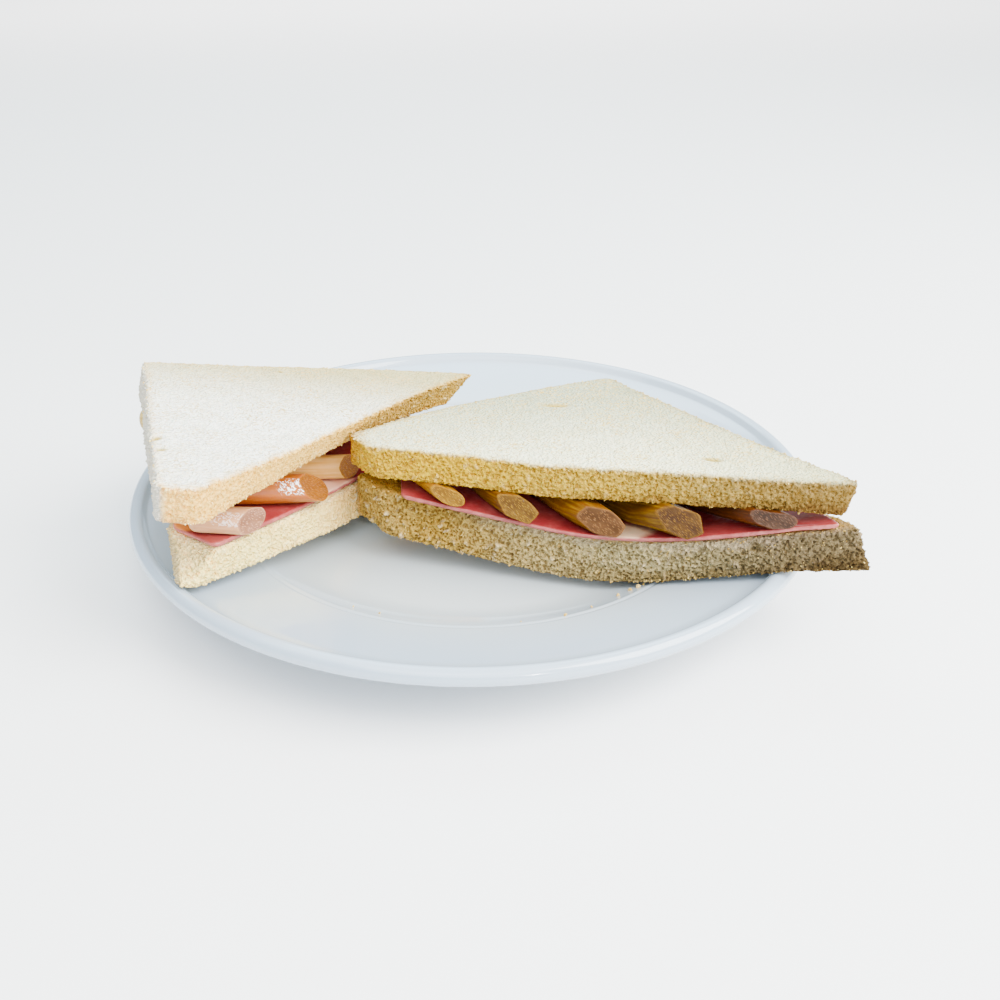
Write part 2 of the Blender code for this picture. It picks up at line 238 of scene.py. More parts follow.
# %% Section of the plate
def plate_section():
    """Radius and height in millimetres, from the upper face's middle round the lip to the middle below."""
    line = [(0.0, 7.0), (15.0, 7.0), (30.0, 7.0), (45.0, 7.0), (54.0, 7.1)]
    for step in range(1, 12):
        share = step / 12
        line.append((54.0 + share * 14.2, 7.1 + 4.0 * share ** 1.7))
    line += [(68.3, 11.1), (68.75, 11.36), (69.3, 11.44), (69.8, 11.40)]
    line += [(70.1, 11.52), (70.5, 11.78), (71.0, 11.9)]
    for step in range(1, 9):
        share = step / 9
        line.append((71.0 + share * 22.8, 11.9 + 5.5 * share))
    line += [(94.6, 17.62), (95.2, 18.05)]
    for step in range(0, 17):
        turn = math.radians(140 - step * 13.1)
        line.append((97.67 + 2.33 * math.cos(turn), 17.67 + 2.33 * math.sin(turn)))
    line += [(95.0, 14.4), (89.5, 12.9), (84.0, 11.4), (78.5, 9.8), (73.0, 8.0), (66.0, 4.6), (60.9, 2.6)]
    line += [(59.8, 1.2), (59.5, 0.5), (59.2, 0.12), (58.8, 0.0), (57.3, 0.0), (55.9, 0.0), (55.3, 0.2)]
    line += [(55.0, 0.6), (54.2, 2.0), (53.4, 2.8), (51.0, 3.0), (30.0, 3.0), (0.0, 3.0)]
    return line


section = plate_section()
print(len(section), "points on the section")


# %% Geometry Nodes tree that turns a section
def group(name, sockets):
    """An empty geometry tree with a mesh going in and coming out, and one named input for each size."""
    tree = bpy.data.node_groups.new(name, "GeometryNodeTree")
    tree.interface.new_socket("Geometry", in_out="INPUT", socket_type="NodeSocketGeometry")
    for label, kind, value in sockets:
        made = tree.interface.new_socket(label, in_out="INPUT", socket_type="NodeSocket" + kind)
        if value is not None:
            made.default_value = value
    tree.interface.new_socket("Geometry", in_out="OUTPUT", socket_type="NodeSocketGeometry")
    return tree, tree.nodes.new("NodeGroupInput").outputs, tree.nodes.new("NodeGroupOutput").inputs


def grow(piece, tree, values):
    """Adds the tree to a piece and sets its inputs by their identifiers."""
    modifier = piece.modifiers.new(tree.name, "NODES")
    modifier.node_group = tree
    for item in tree.interface.items_tree:
        if item.in_out == "INPUT" and item.name in values:
            modifier[item.identifier] = values[item.name]


def settle(piece, name):
    """A plain mesh object of what the piece's modifiers make. The piece itself is removed."""
    graph = bpy.context.evaluated_depsgraph_get()
    mesh = bpy.data.meshes.new_from_object(
        piece.evaluated_get(graph), preserve_all_data_layers=True, depsgraph=graph)
    bpy.data.objects.remove(piece, do_unlink=True)
    mesh.name = name
    made = link(name, mesh)
    print(f"{name}: {len(mesh.vertices)} points, {sum(len(f.vertices) - 2 for f in mesh.polygons)} triangles")
    return made


def end_tree(tree, geometry, given, out):
    """Realize Instances and Set Material, which every tree here ends in."""
    whole = wire(tree, "GeometryNodeRealizeInstances", {"Geometry": geometry}).outputs[0]
    last = wire(tree, "GeometryNodeSetMaterial", {"Geometry": whole, "Material": given["Finish"]})
    tree.links.new(last.outputs[0], out[0])
    return tree


def turning_tree():
    tree, given, out = group("turned section", (
        ("Steps", "Int", 192), ("Section Points", "Int", 64), ("Finish", "Material", None)))
    grid = wire(tree, "GeometryNodeMeshGrid", {
        "Size X": 1.0, "Size Y": 1.0, "Vertices X": calc(tree, "ADD", given["Steps"], 1.0),
        "Vertices Y": given["Section Points"]})
    spot = wire(tree, "GeometryNodeInputPosition").outputs[0]
    place = split(tree, spot)
    count = calc(tree, "SUBTRACT", given["Section Points"], 1.0)
    row = calc(tree, "ROUND", times(tree, calc(tree, "ADD", place[1], 0.5), count))
    sample = wire(tree, "GeometryNodeSampleIndex", {
        "Geometry": given["Geometry"], "Value": spot, "Index": row}, data_type="FLOAT_VECTOR", domain="POINT")
    radius, height = (split(tree, sample.outputs[0])[axis] for axis in (0, 2))
    turn = times(tree, calc(tree, "ADD", place[0], 0.5), -2 * math.pi)
    x = times(tree, radius, calc(tree, "COSINE", turn))
    y = times(tree, radius, calc(tree, "SINE", turn))
    target = wire(tree, "ShaderNodeCombineXYZ", {0: x, 1: y, 2: height}).outputs[0]
    wrapped = wire(tree, "GeometryNodeSetPosition", {"Geometry": grid.outputs[0], "Position": target})
    closed = wire(tree, "GeometryNodeMergeByDistance", {"Geometry": wrapped.outputs[0], "Distance": 1e-5})
    smooth = wire(tree, "GeometryNodeSetShadeSmooth", {"Geometry": closed.outputs[0]})
    return end_tree(tree, smooth.outputs[0], given, out)


# %% [markdown]
# The glaze is a cool white, a little greener in the well and bluer on the flange. The flange's bluer and
# darker body colour is partly a painted reflection of the cool sky and partly painted shade, set against the
# stronger light that the flange gets. It is clear and hard, so nearly all of its look is in one sharp
# reflection over a soft body colour. Very slight waves in the glaze keep the reflections from looking
# machined.

# %% Glaze
def glaze_finish():
    made, tree, shader = shade("porcelain glaze", {
        "Roughness": 0.16, "IOR": 1.5, "Coat Weight": 0.6, "Coat Roughness": 0.05, "Specular IOR Level": 0.5})
    spot = object_place(tree)
    x, y, _ = split(tree, spot)
    away = calc(tree, "SQRT", calc(tree, "ADD", times(tree, x, x), times(tree, y, y)))
    # Painted reflection and painted shade: the flange gets a bluer, darker body colour than the well.
    body = blend(tree, ease(tree, away, 0.05, 0.09), (0.43, 0.48, 0.50), (0.33, 0.42, 0.52))
    cloud = noise_at(tree, spot, 14.0)
    body = blend(tree, ease(tree, cloud, 0.35, 0.65, 0.0, 0.25), body, (0.43, 0.48, 0.53))
    tree.links.new(body, shader.inputs["Base Color"])
    wave = noise_at(tree, spot, 35.0, 1.0)
    relief(tree, wave, 0.12, 0.001, shader.inputs["Normal"], shader.inputs["Coat Normal"])
    return made


glaze = glaze_finish()
profile = bpy.data.meshes.new("plate section")
profile.from_pydata([(r * MM, 0, z * MM) for r, z in section],
                    [(i, i + 1) for i in range(len(section) - 1)], [])
plate = link("plate section", profile)
grow(plate, turning_tree(), {"Steps": 192, "Section Points": len(section), "Finish": glaze})
plate = settle(plate, "glazed_plate")
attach(plate, "root")
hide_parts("plate")

# %% [markdown]
# ## Bread
#
# The four pieces of bread are soft foam: thousands of small round pores with thin walls. A bump map alone
# would leave a clean outline, and a cut slice never has one. So each solid is first rebuilt as an even fine
# mesh, then a Geometry Nodes tree sinks pores of three sizes into it. The faces that the knife made are
# open and torn. The flat faces were sliced by machine and are finer, so the tree reads a mask that says how
# much a point belongs to a knife cut. The mesh also keeps the stirred places that the pores were worked out
# from, so the material finds the same pores again for its colours.

# %% Even mesh of a solid, and the mask of its cut faces
def copy_of(node, name):
    work = bmesh.new()
    work.from_mesh(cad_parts[node].data)
    bmesh.ops.remove_doubles(work, verts=work.verts, dist=2e-6)
    mesh = bpy.data.meshes.new(name)
    work.to_mesh(mesh)
    work.free()
    return link(name, mesh)


def even_mesh(node, name, cell):
    piece = copy_of(node, name)
    remesh = piece.modifiers.new("even cells", "REMESH")
    remesh.mode = "VOXEL"
    remesh.voxel_size = cell
    remesh.use_smooth_shade = True
    return settle(piece, name)


def points_of(mesh):
    values = np.empty(len(mesh.vertices) * 3)
    mesh.vertices.foreach_get("co", values)
    return values.reshape(-1, 3)


def normals_of(mesh):
    values = np.empty(len(mesh.vertices) * 3)
    mesh.vertex_normals.foreach_get("vector", values)
    return values.reshape(-1, 3)


def keep_value(mesh, name, values):
    mesh.attributes.new(name, "FLOAT", "POINT").data.foreach_set("value", values.astype(np.float32))


def facing(mesh):
    """How far each point faces up, 1, or down, -1, against the slice's own flat faces. A cut face has 0."""
    normals = normals_of(mesh)
    upper = normals[normals[:, 2] > 0.9].mean(axis=0)
    return normals @ (upper / np.linalg.norm(upper))


def cut_mask(mesh):
    """One on the faces that the knife made, nought on the flat faces of the slice."""
    share = np.clip((0.92 - np.abs(facing(mesh))) / 0.45, 0, 1)
    return share * share * (3 - 2 * share)


def rise_of(mesh):
    """Height within the slice: nought on its lower face and one on its upper face, from two curved fits."""
    points, turned = points_of(mesh) / MM, facing(mesh)
    x, y = points[:, 0] / 50, points[:, 1] / 50
    powers = [np.ones_like(x), x, y, x * x, x * y, y * y, x ** 3, y ** 3, x * x * y, x * y * y]
    terms = np.column_stack(powers)
    levels = []
    for side in (turned < -0.9, turned > 0.9):
        levels.append(terms @ np.linalg.lstsq(terms[side], points[side, 2], rcond=None)[0])
    return np.clip((points[:, 2] - levels[0]) / (levels[1] - levels[0]), 0, 1)


def soften(work):
    bmesh.ops.smooth_vert(
        work, verts=work.verts, factor=0.5, use_axis_x=True, use_axis_y=True, use_axis_z=True)


def smooth_faces(mesh):
    for face in mesh.polygons:
        face.use_smooth = True


def fine_cuts(piece, cuts):
    """Splits the edges on and beside the knife's faces, so that small pores fit there."""
    work = bmesh.new()
    work.from_mesh(piece.data)
    soften(work)
    work.to_mesh(piece.data)
    mask = cut_mask(piece.data)
    near = [e for e in work.edges if max(mask[v.index] for v in e.verts) > 0.05]
    bmesh.ops.subdivide_edges(work, edges=near, cuts=cuts, use_grid_fill=True)
    for _ in range(2):
        soften(work)
    bmesh.ops.triangulate(work, faces=[f for f in work.faces if len(f.verts) > 4])
    work.to_mesh(piece.data)
    work.free()
    smooth_faces(piece.data)


# %% Pores and the walls between them
def pores_at(tree, place):
    """Pores of three sizes, from nought on the walls to about one in the middle of a pore."""
    def layer(size, inner, outer, rarity):
        cells = wire(tree, "ShaderNodeTexVoronoi", {"Vector": place, "Scale": 1.0 / size})
        bowl = ease(tree, cells.outputs["Distance"], outer, inner)
        return times(tree, bowl, ease(tree, cells.outputs["Color"], rarity, rarity + 0.25))

    small = layer(1.0, 0.22, 0.66, 0.05)
    middle = layer(1.9, 0.12, 0.50, 0.50)
    large = layer(4.6, 0.08, 0.36, 0.72)
    both = calc(tree, "ADD", times(tree, middle, 0.45), times(tree, large, 0.6))
    return calc(tree, "ADD", times(tree, small, 0.6), both)


def walls_at(tree, place):
    """Thin broken walls between the smallest pores, from nought to one."""
    cells = wire(tree, "ShaderNodeTexVoronoi", {"Vector": place, "Scale": 1.15}, feature="DISTANCE_TO_EDGE")
    broken = noise_at(tree, place, 0.8)
    return times(tree, ease(tree, cells.outputs["Distance"], 0.17, 0.02), ease(tree, broken, 0.38, 0.58))


# %% Geometry Nodes tree for the open crumb
def centred_noise(tree, place, scale, detail):
    """A noise vector whose parts swing about nought."""
    given = {"Vector": place, "Scale": scale, "Detail": detail}
    return vector_math(tree, "SUBTRACT", wire(tree, "ShaderNodeTexNoise", given).outputs[1], (0.5, 0.5, 0.5))


def read_value(tree, label):
    return wire(tree, "GeometryNodeInputNamedAttribute", {"Name": label}, data_type="FLOAT").outputs[0]


def blurred(tree, value, steps):
    return wire(tree, "GeometryNodeBlurAttribute", {"Value": value, "Iterations": steps},
                data_type="FLOAT").outputs[0]


def store(tree, geometry, label, value, kind="FLOAT"):
    given = {"Geometry": geometry, "Name": label, "Value": value}
    return wire(tree, "GeometryNodeStoreNamedAttribute", given, data_type=kind, domain="POINT").outputs[0]


def crumb_tree():
    tree, given, out = group("open crumb", (
        ("Pore Size", "Float", 0.0012), ("Pore Depth", "Float", 0.0005), ("Flat Depth", "Float", 0.0001),
        ("Tear", "Float", 0.0002), ("Tuft", "Float", 0.0002), ("Seed", "Int", 0),
        ("Finish", "Material", None)))
    spot = wire(tree, "GeometryNodeInputPosition").outputs[0]
    cut = read_value(tree, "cut")
    wide, mask = blurred(tree, cut, 60), blurred(tree, cut, 2)
    scaled = vector_math(tree, "SCALE", spot, scale=calc(tree, "DIVIDE", 1.0, given["Pore Size"]))
    scaled = vector_math(tree, "ADD", scaled, times(tree, given["Seed"], 7.31))
    stir = centred_noise(tree, scaled, 0.5, 2.0)
    stirred = vector_math(tree, "MULTIPLY_ADD", stir, (2.2, 2.2, 2.2), scaled)
    rough = sway(tree, noise_at(tree, scaled, 1.0, 3.0), 3.4)
    edge = times(tree, wide, calc(tree, "SUBTRACT", 1.0, wide), 4.0)
    torn = times(tree, times(tree, rough, given["Tear"], mask), calc(tree, "MULTIPLY_ADD", edge, 2.8, 1.0))
    tuft = times(tree, ease(tree, noise_at(tree, scaled, 0.34, 3.0, 0.8), 0.60, 0.72), mask)
    torn = calc(tree, "MULTIPLY_ADD", tuft, given["Tuft"], torn)
    sunk = calc(tree, "SUBTRACT", pores_at(tree, stirred), times(tree, walls_at(tree, stirred), 0.35))
    open_depth = times(tree, sunk, given["Pore Depth"], mask)
    flat = times(tree, calc(tree, "SUBTRACT", 1.0, mask), given["Flat Depth"])
    flat = times(tree, times(tree, noise_at(tree, scaled, 0.7), 2.0), flat)
    depth = calc(tree, "SUBTRACT", torn, calc(tree, "ADD", open_depth, flat))
    kept = given["Geometry"]
    for label, value in (("mask", mask), ("edge", edge), ("wide", wide), ("tuft", tuft)):
        kept = store(tree, kept, label, value)
    kept = store(tree, kept, "rest", stirred, "FLOAT_VECTOR")
    away = wire(tree, "GeometryNodeInputNormal").outputs[0]
    moved = wire(tree, "GeometryNodeSetPosition", {
        "Geometry": kept, "Offset": vector_math(tree, "SCALE", away, scale=depth)})
    return end_tree(tree, moved.outputs[0], given, out)


open_crumb = crumb_tree()


# %% [markdown]
# Bread colour comes in three parts. The flat faces are nearly white, with faint tan specks, and turn tanner
# and darker towards the back and the right end, partly painted shade. The cut faces are a creamy gold that is
# painted browner inside the pores: painted shade in the hollows, with the warmer light that comes back out of
# them. Each slice also drifts from one tone to another along its length, partly its own tone and partly
# painted shade. A little scattering below the surface lets the white of the top run softly over the edge.

# %% Colour of the knife's faces
def cut_colour(tree, spot, rest, pore, value, look):
    """Wall and pore colours that drift along X and towards the lower edge, with pale tufts."""
    x = split(tree, spot)[0]
    along = ease(tree, x, look["ends"][0] * MM, look["ends"][1] * MM)
    along = calc(tree, "ADD", along, sway(tree, noise_at(tree, spot, 55.0), 0.7))
    along = wire(tree, "ShaderNodeClamp", {0: along}).outputs[0]
    # The pore colour is darker than the wall's: painted shade in the pores. The drift along X is partly
    # painted shade.
    walls, pore_shade = (blend(tree, along, near, far) for near, far in zip(look["near"], look["far"]))
    low = calc(tree, "ADD", value["rise"], sway(tree, noise_at(tree, spot, 260.0), 0.5))
    pore_shade = blend(tree, ease(tree, low, 0.0, 0.35, 0.8, 0.0), pore_shade, look["foot"])
    grit = ease(tree, noise_at(tree, spot, 900.0, 3.0), 0.35, 0.65, 0.25, 0.65)
    inside = blend(tree, times(tree, walls_at(tree, rest), 0.8), blend(tree, grit, walls, pore_shade), walls)
    inside = blend(tree, ease(tree, pore, 0.1, 0.7, 0.0, 0.75), inside, pore_shade)
    inside = blend(tree, times(tree, value["tuft"], 0.5), inside, look["tufts"])
    crest = times(tree, ease(tree, low, 0.72, 1.0), ease(tree, x, -0.01, 0.02, 0.0, look["crest"]))
    inside = blend(tree, crest, inside, look["tufts"])
    # Painted shade: towards the right end the crumb is darkened by a colour of its look.
    inside = blend(tree, ease(tree, x, 0.038, 0.083), inside, tinted(tree, inside, look["end_shade"]))
    if "west_side_shade" in look:
        corner = ease(tree, noise_at(tree, spot, 700.0, 3.0), 0.54, 0.62)
        corner = times(tree, ease(tree, x, -0.058, -0.068), corner)
        inside = blend(tree, times(tree, corner, look["fleck"]), inside, (0.80, 0.34, 0.04))
        # Painted shade on a side that faces left.
        inside = blend(tree, ease(tree, value["west_side_shade"], -0.2, 0.5, 0.0, 0.9), inside, look["west_side_shade"])
    else:
        # Painted shade on the lower part of the right half's cut faces, deepening towards the right.
        shaded = times(tree, ease(tree, low, 0.05, 0.5, 1.0, 0.0), ease(tree, x, 0.0, 0.06))
        inside = blend(tree, shaded, inside, tinted(tree, inside, (0.55, 0.48, 0.34)))
        inside = blend(tree, ease(tree, x, -0.030, -0.037), inside, tinted(tree, inside, (1.0, 0.62, 0.22)))
    plain = blend(tree, ease(tree, pore, 0.1, 0.7), (0.90, 0.74, 0.44), (0.62, 0.42, 0.17))
    return blend(tree, ease(tree, value["rear"], 0.2, 0.6, 0.0, 0.85), inside, plain)


# %% Colour of the flat faces
def flat_colour(tree, spot, value, look):
    """A pale tone that drifts to the back and to the right, with clouds and tan specks."""
    x, y, _ = split(tree, spot)
    # The far tone towards the back is tanner and darker, partly painted shade.
    top = blend(tree, ease(tree, y, look["fade"][0] * MM, look["fade"][1] * MM), look["flat"], look["back"])
    cloud = ease(tree, noise_at(tree, spot, 160.0, 4.0), 0.4, 0.7, 0.0, 0.3)
    top = blend(tree, cloud, top, tinted(tree, top, (0.80, 0.74, 0.60)))
    # Painted shade: the top darkens towards the right end.
    top = blend(tree, ease(tree, x, 0.03, 0.09), top, tinted(tree, top, (0.60, 0.60, 0.52)))
    speck = ease(tree, noise_at(tree, spot, 1250.0, 3.0), 0.50, 0.62)
    speck = times(tree, speck, ease(tree, noise_at(tree, spot, 90.0, 3.0), 0.35, 0.68, 0.3, 1.0))
    speck = times(tree, speck, ease(tree, y, -0.05, 0.03, 0.75, 1.2))
    top = blend(tree, speck, top, tuple(c * tan for c, tan in zip(look["flat"], (0.70, 0.48, 0.20))))
    return blend(tree, ease(tree, value["up"], -0.3, 0.3), look["under"], top)


# %% Crumb finish
def crumb_finish(name, look):
    made, tree, shader = shade(name, {
        "Roughness": 0.9, "Specular IOR Level": 0.1, **soft(0.1, (1.0, 0.6, 0.25), 0.0006)})
    spot = object_place(tree)
    labels = ("wide", "up", "stain", "tuft", "rise", "west_side_shade", "rear")
    value = {label: stored(tree, label) for label in labels}
    rest = stored(tree, "rest", "Vector")
    pore = pores_at(tree, rest)
    spill = calc(tree, "ADD", value["wide"], sway(tree, noise_at(tree, spot, 380.0), 0.6))
    spill = calc(tree, "SUBTRACT", spill, times(tree, value["rise"], 0.10))
    colour = blend(tree, ease(tree, spill, 0.10, 0.80), flat_colour(tree, spot, value, look),
                   cut_colour(tree, spot, rest, pore, value, look))
    colour = blend(tree, ease(tree, value["stain"], 0.1, 1.0), colour, (0.46, 0.33, 0.08))
    colour = blend(tree, ease(tree, value["stain"], 1.2, 2.0), colour, (0.10, 0.03, 0.01))
    tree.links.new(colour, shader.inputs["Base Color"])
    grit = times(tree, noise_at(tree, spot, 1700.0, 3.0), 0.9)
    relief(tree, calc(tree, "SUBTRACT", grit, times(tree, pore, 0.9)), 1.0, 0.0007, shader.inputs["Normal"])
    return made


# %% [markdown]
# Each slice has its own set of colours. Flat, back and under are those of the flat faces in front, at the far
# side and below, and fade says where along Y the far tone comes in. The far tone is tanner and darker, partly
# painted shade. Near and far are a wall colour and a pore colour at the two places along X that ends gives,
# and their drift is partly painted shade. Foot is the pore colour at the lower edge, and tufts is that of the
# torn tufts, with crest as their share along the upper edge. Two more colours are painted shade: the one the
# crumb comes down to at the right end, and that of a side that faces left. Fleck is the share of toasted
# flecks at the left corner. Places are in millimetres.

# %% Colours of the four pieces of bread
CRUMBS = {
    "right_bread_top": crumb_finish("crumb right top", {
        "flat": (1.0, 0.99, 0.68), "back": (0.42, 0.46, 0.31), "under": (0.36, 0.17, 0.015),
        "near": ((0.60, 0.39, 0.006), (0.33, 0.145, 0.0)),
        "far": ((0.46, 0.315, 0.065), (0.21, 0.105, 0.002)),
        "fade": (-58, 10), "ends": (-20, 75), "foot": (0.30, 0.135, 0.02), "tufts": (0.64, 0.45, 0.15),
        "crest": 0.0, "end_shade": (0.56, 0.53, 0.70)}),
    "right_bread_bottom": crumb_finish("crumb right bottom", {
        # The flat colour is dark: partly the moist top of the slice and partly painted shade under the top
        # slice.
        "flat": (0.40, 0.21, 0.02), "back": (0.36, 0.19, 0.02), "under": (0.22, 0.12, 0.025),
        "near": ((0.46, 0.29, 0.05), (0.14, 0.060, 0.001)),
        "far": ((0.45, 0.36, 0.17), (0.15, 0.105, 0.038)),
        "fade": (-58, 15), "ends": (-20, 42), "foot": (0.09, 0.048, 0.008), "tufts": (0.72, 0.58, 0.36),
        "crest": 0.6, "end_shade": (0.38, 0.35, 0.36)}),
    "left_bread_top": crumb_finish("crumb left top", {
        "flat": (1.0, 1.0, 0.88), "back": (0.51, 0.45, 0.22), "under": (0.50, 0.22, 0.03),
        "near": ((0.93, 0.59, 0.15), (0.78, 0.38, 0.034)),
        "far": ((0.58, 0.36, 0.06), (0.41, 0.215, 0.02)),
        "fade": (-30, 22), "ends": (-48, -10), "foot": (0.66, 0.28, 0.02), "tufts": (1.0, 0.80, 0.38),
        "crest": 0.0, "end_shade": (1.0, 1.0, 1.0), "west_side_shade": (0.56, 0.56, 0.50), "fleck": 0.8}),
    "left_bread_bottom": crumb_finish("crumb left bottom", {
        "flat": (1.0, 0.78, 0.40), "back": (0.90, 0.68, 0.34), "under": (0.60, 0.42, 0.20),
        "near": ((1.0, 0.85, 0.33), (1.0, 0.72, 0.19)),
        "far": ((0.90, 0.50, 0.15), (0.70, 0.33, 0.075)),
        "fade": (-25, 40), "ends": (-60, -18), "foot": (0.90, 0.56, 0.17), "tufts": (1.0, 0.90, 0.58),
        "crest": 0.0, "end_shade": (1.0, 1.0, 1.0), "west_side_shade": (0.40, 0.32, 0.18), "fleck": 0.6}),
}

# %% [markdown]
# The flat tops carry a few marks: shallow dents where a bubble lay just under the surface, tan flecks, and
# one dark speck. They are pressed into the even mesh as soft ovals before the pores are made, and the same
# oval is kept as a stain that the finish colours.

# %% Marks on the flat tops
MARKS = {
    "right_bread_top": ((24.2, -1.4, 4.3, 1.5, -8, 0.7, 1.0), (61.5, -42.6, 3.0, 1.3, -25, 0.6, 1.0),
                        (66.5, -34.0, 1.2, 0.6, 30, 0.2, 0.5), (84.0, -55.0, 1.6, 0.8, 0, 0.3, 0.5)),
    "left_bread_top": ((-77.6, -48.3, 1.7, 1.2, 60, 0.6, 1.0), (-74.9, -54.9, 1.8, 1.2, 40, 0.6, 0.9),
                       (-56.9, 12.7, 0.55, 0.5, 0, 0.2, 2.4), (-57.6, -63.9, 1.3, 0.5, 20, 0.2, 0.9),
                       (-56.0, -35.0, 0.7, 0.45, 0, 0.1, 0.8), (-74.6, -26.0, 0.9, 0.5, 50, 0.1, 0.6),
                       (-31.0, 7.0, 1.0, 0.5, 10, 0.2, 0.5)),
}


def press_marks(piece, marks):
    points = points_of(piece.data)
    flat = facing(piece.data) > 0.8
    stain = np.zeros(len(points))
    for x, y, long_, wide, turn, depth, tone in marks:
        turn = math.radians(turn)
        dx, dy = points[:, 0] / MM - x, points[:, 1] / MM - y
        u = (dx * math.cos(turn) + dy * math.sin(turn)) / long_
        v = (dy * math.cos(turn) - dx * math.sin(turn)) / wide
        share = np.exp(-(u * u + v * v) ** 1.5) * flat
        points[:, 2] -= share * depth * MM
        stain = np.maximum(stain, share * tone)
    piece.data.vertices.foreach_set("co", points.ravel())
    keep_value(piece.data, "stain", stain)


# %% Make the four pieces of bread
# The mesh cell, the depth of the pores and the length of the torn tufts of each slice, in metres
CRUMB_SIZES = {
    "right_bread_top": (0.00075, 0.00042, 0.0003), "right_bread_bottom": (0.00083, 0.0008, 0.0011),
    "left_bread_top": (0.00077, 0.00028, 0.0003), "left_bread_bottom": (0.00075, 0.00028, 0.0003)}
breads = {}
for seed, (node, finish) in enumerate(CRUMBS.items()):
    cell, depth, tuft = CRUMB_SIZES[node]
    piece = even_mesh(node, node + "_crumb", cell)
    fine_cuts(piece, 2)
    press_marks(piece, MARKS.get(node, ()))
    normals = normals_of(piece.data)
    for label, values in (("cut", cut_mask(piece.data)), ("up", facing(piece.data)), ("west_side_shade", -normals[:, 0]),
                          ("rear", normals[:, 1]), ("rise", rise_of(piece.data))):
        keep_value(piece.data, label, values)
    grow(piece, open_crumb, {
        "Pore Size": 0.0008, "Pore Depth": depth, "Flat Depth": 0.00006, "Tear": 0.00027, "Tuft": tuft,
        "Seed": seed, "Finish": finish})
    piece = settle(piece, node + "_crumb")
    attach(piece, "root")
    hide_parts(node)
    breads[node] = piece

# %% [markdown]
# A knife drags crumbs out of soft bread, so its edges are fringed with tiny torn bits. A second tree
# scatters small rough grains where the mask turns from cut to flat, and here and there on the cut face, and
# all grains, of 20 faces each, are joined into one piece.

# %% Torn bits along the edges
def random_vector(tree, low, high, seed):
    given = {0: low, 1: high, "Seed": seed}
    return wire(tree, "FunctionNodeRandomValue", given, data_type="FLOAT_VECTOR").outputs[0]


def jagged(tree, geometry, scale, detail, reach):
    """Makes instances real and moves their points by noise, so that round grains become rough."""
    whole = wire(tree, "GeometryNodeRealizeInstances", {"Geometry": geometry}).outputs[0]
    spot = wire(tree, "GeometryNodeInputPosition").outputs[0]
    jag = vector_math(tree, "SCALE", centred_noise(tree, spot, scale, detail), scale=reach)
    return wire(tree, "GeometryNodeSetPosition", {"Geometry": whole, "Offset": jag}).outputs[0]


def bits_tree():
    tree, given, out = group("torn bits", (
        ("Density", "Float", 6e5), ("Face Share", "Float", 0.1), ("Smallest", "Float", 0.00015),
        ("Largest", "Float", 0.0004), ("Seed", "Int", 0), ("Finish", "Material", None)))
    mask = read_value(tree, "mask")
    patch = noise_at(tree, wire(tree, "GeometryNodeInputPosition").outputs[0], 260.0)
    tufts = times(tree, ease(tree, patch, 0.56, 0.7), mask, given["Face Share"])
    edges = times(tree, ease(tree, read_value(tree, "edge"), 0.6, 1.0), mask)
    density = times(tree, calc(tree, "ADD", edges, tufts), given["Density"])
    spread = wire(tree, "GeometryNodeDistributePointsOnFaces", {
        "Mesh": given["Geometry"], "Density": density, "Seed": given["Seed"]})
    grain = wire(tree, "GeometryNodeMeshIcoSphere", {"Radius": 1.0, "Subdivisions": 1})
    size = wire(tree, "FunctionNodeRandomValue", {
        2: given["Smallest"], 3: given["Largest"], "Seed": given["Seed"]}, data_type="FLOAT").outputs[1]
    turn = random_vector(tree, (0, 0, 0), (6.28, 6.28, 6.28), given["Seed"])
    stretch = random_vector(tree, (0.6, 0.6, 0.6), (1.6, 1.3, 1.3), 3)
    placed = wire(tree, "GeometryNodeInstanceOnPoints", {
        "Points": spread.outputs[0], "Instance": grain.outputs[0], "Rotation": turn,
        "Scale": vector_math(tree, "SCALE", stretch, scale=size)})
    rough = jagged(tree, placed.outputs[0], 2600.0, 1.0, 0.0006)
    smooth = wire(tree, "GeometryNodeSetShadeSmooth", {"Geometry": rough})
    return end_tree(tree, smooth.outputs[0], given, out)


# %% Finish of the torn bits, and the bits themselves
def bits_finish():
    made, tree, shader = shade("torn crumb", {
        "Roughness": 0.9, "Specular IOR Level": 0.2, **soft(0.3, (1.0, 0.7, 0.4), 0.0006)})
    spot = object_place(tree)
    tone = ease(tree, noise_at(tree, spot, 500.0, 1.0), 0.35, 0.65)
    colour = blend(tree, tone, (0.70, 0.44, 0.11), (0.96, 0.72, 0.32))
    right = ease(tree, split(tree, spot)[0], -0.034, -0.028)
    colour = blend(tree, right, colour, tinted(tree, colour, (0.66, 0.62, 0.46)))
    tree.links.new(colour, shader.inputs["Base Color"])
    return made


torn = bits_finish()
scatter = bits_tree()
shares = {
    "right_bread_top": 0.12, "right_bread_bottom": 0.5, "left_bread_top": 0.1, "left_bread_bottom": 0.15}
parts = []
for seed, (node, bread) in enumerate(breads.items()):
    copy = link(node + " bits", bread.data.copy())
    grow(copy, scatter, {
        "Density": 1.6e6, "Face Share": shares[node], "Smallest": 0.0001, "Largest": 0.00026,
        "Seed": seed + 11, "Finish": torn})
    parts.append(settle(copy, node + " bits"))


# %% Join the bits of all slices
def join_all(items, name, finish):
    whole = bmesh.new()
    for item in items:
        whole.from_mesh(item.data)
    mesh = bpy.data.meshes.new(name)
    whole.to_mesh(mesh)
    whole.free()
    mesh.materials.append(finish)
    mesh.polygons.foreach_set("material_index", np.zeros(len(mesh.polygons), dtype=np.int32))
    for item in items:
        bpy.data.objects.remove(item, do_unlink=True)
    made = link(name, mesh)
    print(f"{name}: {sum(len(f.vertices) - 2 for f in mesh.polygons)} triangles")
    return made


